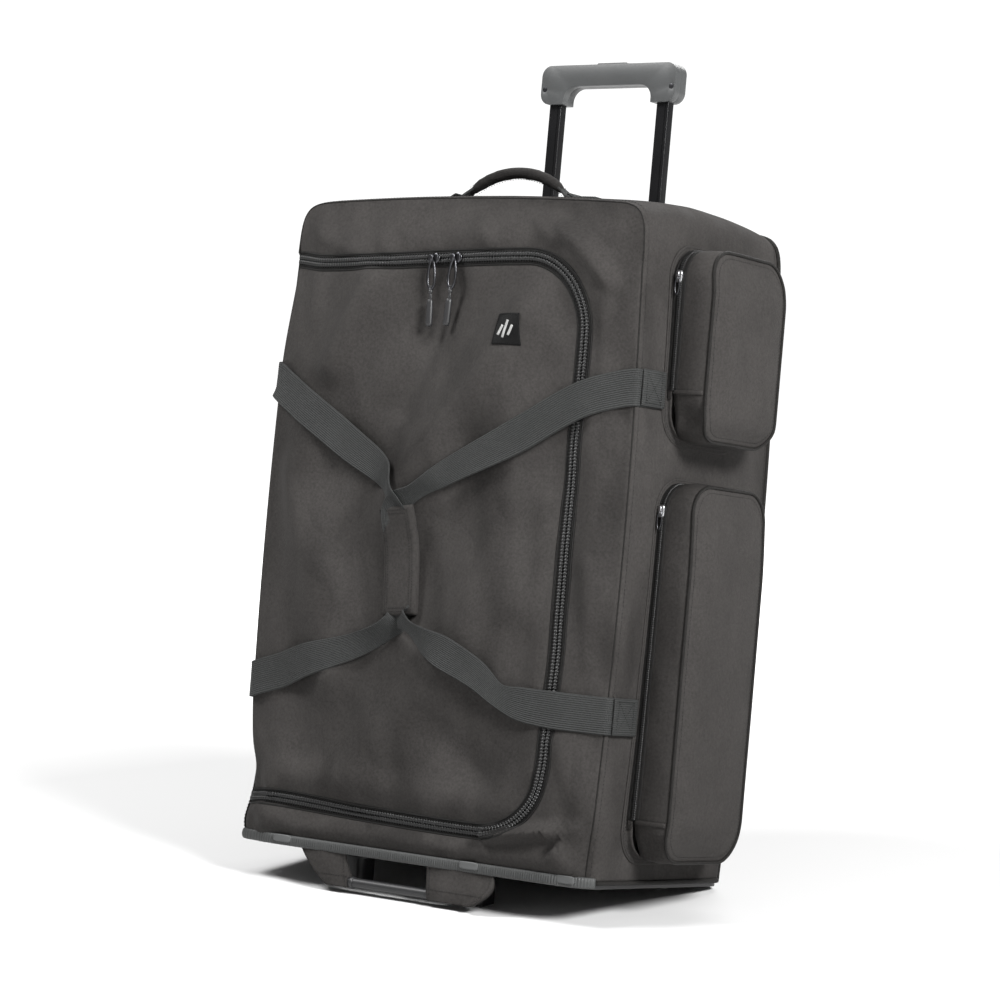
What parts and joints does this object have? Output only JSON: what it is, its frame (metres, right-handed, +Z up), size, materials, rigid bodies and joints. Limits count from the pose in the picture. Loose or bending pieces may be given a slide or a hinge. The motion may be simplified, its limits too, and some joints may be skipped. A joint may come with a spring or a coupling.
{
  "type": "rolling duffel bag",
  "caption": "Upright rolling duffel bag with a zipped lid, side pockets, carry straps, a trolley handle and wheels.",
  "frame": {"origin": "middle of the leaned bag's box, on the floor that its wheels and front feet stand on", "axes": "+X to the side with the pockets, +Y to the back where the trolley handle is, +Z up"},
  "size_m": [0.53, 0.4097, 0.9273],
  "materials": {
    "fabric": "matte",
    "webbing": "matte",
    "board": "matte",
    "moulded_grey": "satin",
    "moulded_black": "satin",
    "zip": "satin",
    "slider_metal": "gloss",
    "patch": "matte",
    "tube_black": "gloss",
    "steel": "satin",
    "rubber": "matte"
  },
  "bodies": {
    "root": {"back_panel": "fabric", "back_board": "board", "side_panel_left": "fabric", "side_panel_right": "fabric", "top_panel": "fabric", "front_frame": "fabric", "base_tray": "moulded_grey", "base_board": "board", "edge_trim": "moulded_grey", "edge_clips": "slider_metal", "piping": "zip", "zip_tape_outer": "zip", "wheel_housing_left": "moulded_black", "wheel_housing_right": "moulded_black", "axles": "steel", "front_feet": "moulded_black", "frame_screws": "steel", "outer_tube_left": "tube_black", "outer_tube_right": "tube_black", "top_bracket": "moulded_black", "bottom_bracket": "moulded_black", "strap_anchors": "webbing", "top_handle_tabs": "webbing", "pocket_base_upper": "fabric", "pocket_base_lower": "fabric"},
    "lid": {"lid_panel": "fabric", "zip_tape_inner": "zip", "lid_patch": "patch", "strap_left": "webbing"},
    "strap_right_loop": {"strap_right": "webbing", "grip_wrap": "fabric"},
    "trolley": {"inner_tube_left": "tube_black", "inner_tube_right": "tube_black", "guide_blocks": "moulded_grey", "grip_front_shell": "moulded_grey", "grip_rear_shell": "moulded_grey", "grip_screws": "steel", "button_spring": "steel"},
    "button": {"release_button": "moulded_black", "release_rods": "steel"},
    "wheel_left": {"tyre_left": "rubber", "hub_left": "moulded_grey", "bearings_left": "steel"},
    "wheel_right": {"tyre_right": "rubber", "hub_right": "moulded_grey", "bearings_right": "steel"},
    "top_handle": {"top_handle_webbing": "webbing", "top_handle_grip": "fabric"},
    "bottom_handle": {"bottom_handle_bar": "moulded_black", "bottom_handle_wings": "fabric"},
    "slider_left": {"main_slider_left": "slider_metal"},
    "slider_right": {"main_slider_right": "slider_metal"},
    "pull_left": {"main_pull_left": "slider_metal"},
    "pull_right": {"main_pull_right": "slider_metal"},
    "pocket_upper": {"pocket_cover_upper": "fabric"},
    "pocket_lower": {"pocket_cover_lower": "fabric"},
    "pocket_zip_upper": {"pocket_slider_upper": "slider_metal"},
    "pocket_zip_lower": {"pocket_slider_lower": "slider_metal"}
  },
  "joints": [
    {"name": "lid_hinge", "type": "hinge", "parent": "root", "child": "lid", "pos_m": [-0.262, -0.14193, 0.39491], "axis": [0, -0.1478, -0.989], "range_deg": [0, 110]},
    {"name": "strap_swing", "type": "hinge", "parent": "root", "child": "strap_right_loop", "pos_m": [0.208, -0.14193, 0.39491], "axis": [0, 0.1478, 0.989], "range_deg": [0, 110], "deforming": ["strap_right", "grip_wrap"]},
    {"name": "trolley_slide", "type": "slide", "parent": "root", "child": "trolley", "axis": [0, 0.1478, 0.989], "range_m": [-0.148, 0.13]},
    {"name": "button_press", "type": "slide", "parent": "trolley", "child": "button", "axis": [0, -0.1478, -0.989], "range_m": [0, 0.004], "stiffness_N_per_m": 900, "springref_m": -0.002, "deforming": ["button_spring"]},
    {"name": "wheel_left_spin", "type": "hinge", "parent": "root", "child": "wheel_left", "pos_m": [-0.197, 0.0335, 0.033], "axis": [1, 0, 0], "continuous": true},
    {"name": "wheel_right_spin", "type": "hinge", "parent": "root", "child": "wheel_right", "pos_m": [0.143, 0.0335, 0.033], "axis": [1, 0, 0], "continuous": true},
    {"name": "top_handle_tilt", "type": "hinge", "parent": "root", "child": "top_handle", "pos_m": [-0.027, 0.00028, 0.75787], "axis": [1, 0, 0], "range_deg": [-60, 60]},
    {"name": "bottom_handle_swing", "type": "hinge", "parent": "root", "child": "bottom_handle", "pos_m": [-0.027, -0.19935, 0.04454], "axis": [-1, 0, 0], "range_deg": [-15, 90]},
    {"name": "slider_left_run", "type": "slide", "parent": "root", "child": "slider_left", "axis": [1, 0, 0], "range_m": [-0.19, 0]},
    {"name": "slider_right_run", "type": "slide", "parent": "root", "child": "slider_right", "axis": [1, 0, 0], "range_m": [0, 0.08]},
    {"name": "pull_left_swing", "type": "hinge", "parent": "slider_left", "child": "pull_left", "pos_m": [-0.053, -0.10459, 0.69822], "axis": [-1, 0, 0], "range_deg": [0, 120]},
    {"name": "pull_right_swing", "type": "hinge", "parent": "slider_right", "child": "pull_right", "pos_m": [-0.021, -0.10459, 0.69822], "axis": [-1, 0, 0], "range_deg": [0, 120]},
    {"name": "pocket_upper_open", "type": "hinge", "parent": "root", "child": "pocket_upper", "pos_m": [0.2187, 0.00047, 0.50203], "axis": [0, 0.989, -0.1478], "range_deg": [0, 75]},
    {"name": "pocket_lower_open", "type": "hinge", "parent": "root", "child": "pocket_lower", "pos_m": [0.2187, -0.06605, 0.05698], "axis": [0, 0.989, -0.1478], "range_deg": [0, 60]},
    {"name": "pocket_zip_upper_run", "type": "slide", "parent": "root", "child": "pocket_zip_upper", "axis": [0, 0.1478, 0.989], "range_m": [-0.12, 0]},
    {"name": "pocket_zip_lower_run", "type": "slide", "parent": "root", "child": "pocket_zip_lower", "axis": [0, 0.1478, 0.989], "range_m": [-0.31, 0]}
  ],
  "couplings": [
    {"joint": "strap_swing", "follows": "lid_hinge", "ratio": 1}
  ]
}
